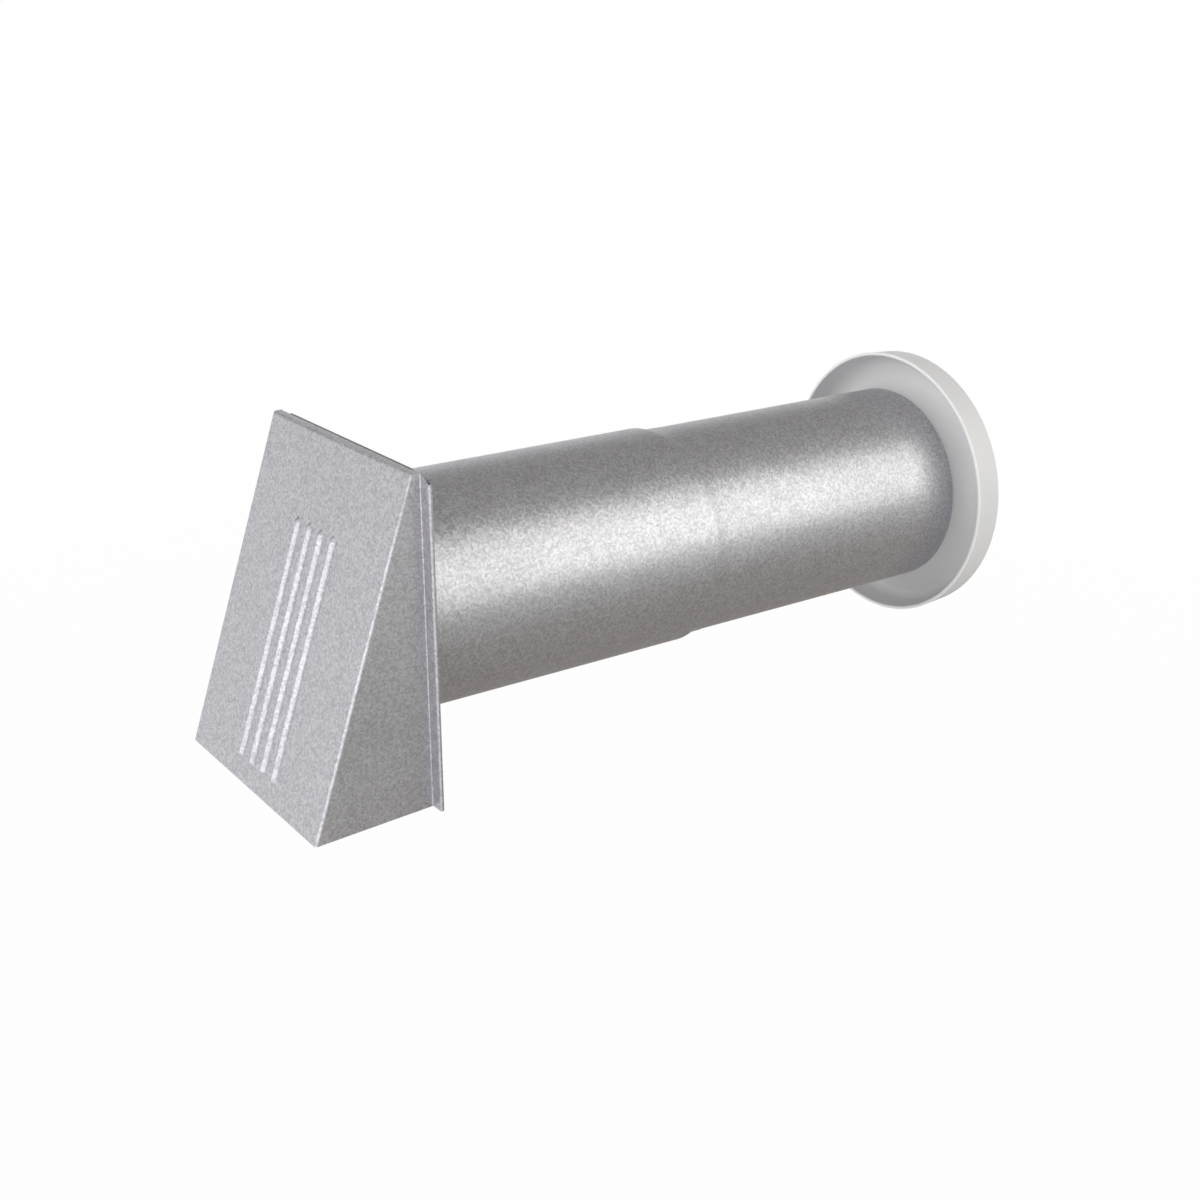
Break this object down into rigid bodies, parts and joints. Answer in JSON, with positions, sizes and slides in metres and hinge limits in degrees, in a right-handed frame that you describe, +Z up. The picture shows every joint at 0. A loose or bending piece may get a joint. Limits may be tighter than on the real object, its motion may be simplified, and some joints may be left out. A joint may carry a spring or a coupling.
{
  "type": "fresh air valve",
  "caption": "Through-wall fresh air valve with a folded outdoor rain hood, telescoping duct sleeve and an indoor ring with a screw-down disc.",
  "frame": {"origin": "on the duct axis at the outer face of the wall", "axes": "+Y along the duct into the room, +Z up, +X to the right seen from outdoors"},
  "size_m": [0.141, 0.4125, 0.1493],
  "materials": {
    "aluzinc_steel": "spangled aluminium-zinc coating, semi-matt",
    "zinc_plated_steel": "bright zinc plating",
    "white_plastic": "moulded, satin",
    "black_rubber": "smooth",
    "filter_fibre": "non-woven fibre mat",
    "brass": "turned"
  },
  "bodies": {
    "outer": {"hood": "aluzinc_steel", "back_plate": "aluzinc_steel", "outer_tube": "aluzinc_steel", "insect_mesh": "zinc_plated_steel", "mesh_frame": "zinc_plated_steel"},
    "indoor": {"inner_tube": "aluzinc_steel", "valve_ring": "white_plastic", "tube_seal": "black_rubber", "bridge": "white_plastic", "bridge_screws": "zinc_plated_steel", "spindle_bush": "brass", "filter_frame": "white_plastic", "filter_pad": "filter_fibre", "filter_clip": "zinc_plated_steel"},
    "knob_spindle": {"spindle": "zinc_plated_steel", "thrust_washer": "zinc_plated_steel", "circlip": "zinc_plated_steel", "knob": "white_plastic", "knob_screw": "zinc_plated_steel", "knob_cap": "white_plastic"},
    "disc": {"valve_disc": "white_plastic", "disc_nut": "brass", "disc_seal": "black_rubber"}
  },
  "joints": [
    {"name": "telescope", "type": "slide", "parent": "outer", "child": "indoor", "axis": [0, 1, 0], "range_m": [-0.11, 0.02]},
    {"name": "knob_turn", "type": "hinge", "parent": "indoor", "child": "knob_spindle", "pos_m": [0, 0.3, 0], "axis": [0, 1, 0], "range_deg": [0, 1260]},
    {"name": "disc_travel", "type": "slide", "parent": "indoor", "child": "disc", "axis": [0, 1, 0], "range_m": [0, 0.014]}
  ],
  "couplings": [
    {"joint": "knob_turn", "follows": "disc_travel", "rad_per_m": 1570.8}
  ]
}
